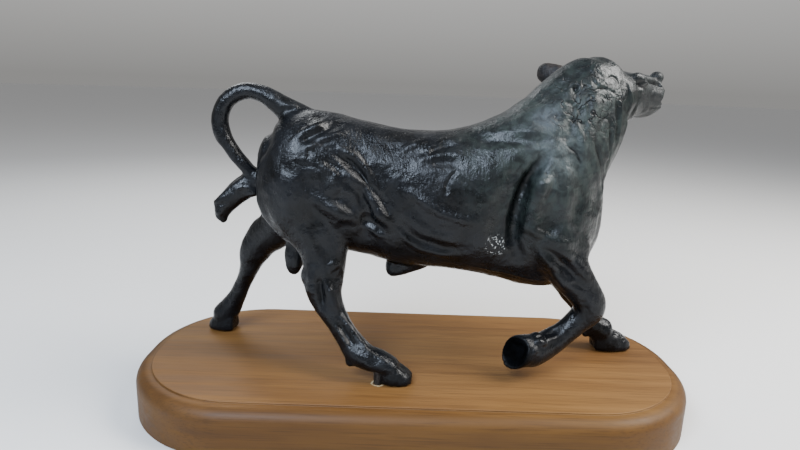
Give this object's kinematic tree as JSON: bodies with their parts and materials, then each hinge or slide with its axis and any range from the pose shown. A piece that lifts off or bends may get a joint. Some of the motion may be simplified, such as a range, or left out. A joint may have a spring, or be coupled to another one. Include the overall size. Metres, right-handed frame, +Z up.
{
  "type": "bull sculpture",
  "caption": "Cast bull striding with one foreleg lifted, its tail looped and its head turned, on a routed wooden base with rounded ends.",
  "frame": {"origin": "centre of the wooden base's underside", "axes": "+X is the way the bull walks, along the base; +Y is the bull's left side; +Z is up"},
  "size_m": [0.42, 0.187, 0.2685],
  "materials": {
    "black_paint": "satin black paint over a rough casting",
    "base_wood": "satin oil or lacquer on red-brown hardwood",
    "stud_metal": "dull dark metal"
  },
  "bodies": {
    "root": {"bull": "black_paint", "wooden_base": "base_wood", "fixing_stud": "stud_metal"}
  },
  "joints": []
}
